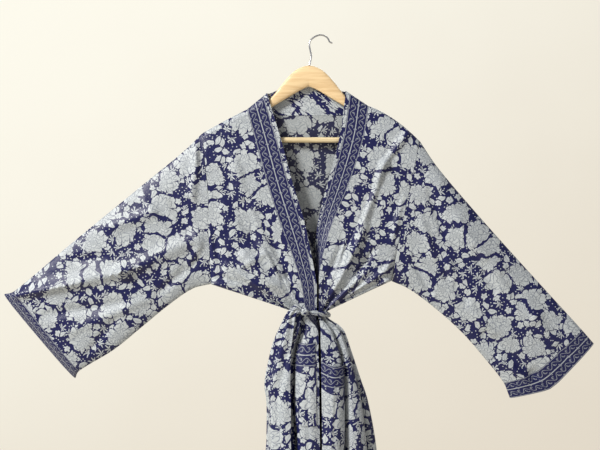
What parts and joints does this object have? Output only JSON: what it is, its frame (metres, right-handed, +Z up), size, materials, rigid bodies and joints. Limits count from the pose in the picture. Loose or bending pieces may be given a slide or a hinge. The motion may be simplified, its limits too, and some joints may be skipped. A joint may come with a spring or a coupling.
{
  "type": "kimono robe on a wooden hanger",
  "caption": "Cotton kimono robe with a block-printed floral pattern, wide sleeves and a tied sash, on a wooden hanger with a wire hook.",
  "frame": {"origin": "inside the crown of the hanger's hook, where it hangs", "axes": "+X to the viewer's right along the hanger, +Y away from the viewer from the robe's front to its back, +Z up"},
  "size_m": [1.1884, 0.1301, 1.3178],
  "materials": {
    "print": "plain cotton with a slight glaze, indigo printed with pale flowers",
    "border": "plain cotton with a slight glaze, indigo printed with vine rows",
    "wood": "clear varnish",
    "steel": "bright plated wire"
  },
  "bodies": {
    "root": {"front_left": "print", "front_right": "print", "back": "print", "sleeve_left": "print", "sleeve_right": "print", "cuff_left": "border", "cuff_right": "border", "neckband_left": "border", "neckband_right": "border", "neckband_back": "border", "pocket_left": "print", "pocket_right": "print", "pocket_band_left": "border", "pocket_band_right": "border", "belt_waist": "print", "belt_knot": "print", "belt_tail_front": "print", "belt_tail_back": "print", "hanger_body": "wood", "hanger_bar": "wood", "hanger_hook": "steel"}
  },
  "joints": []
}
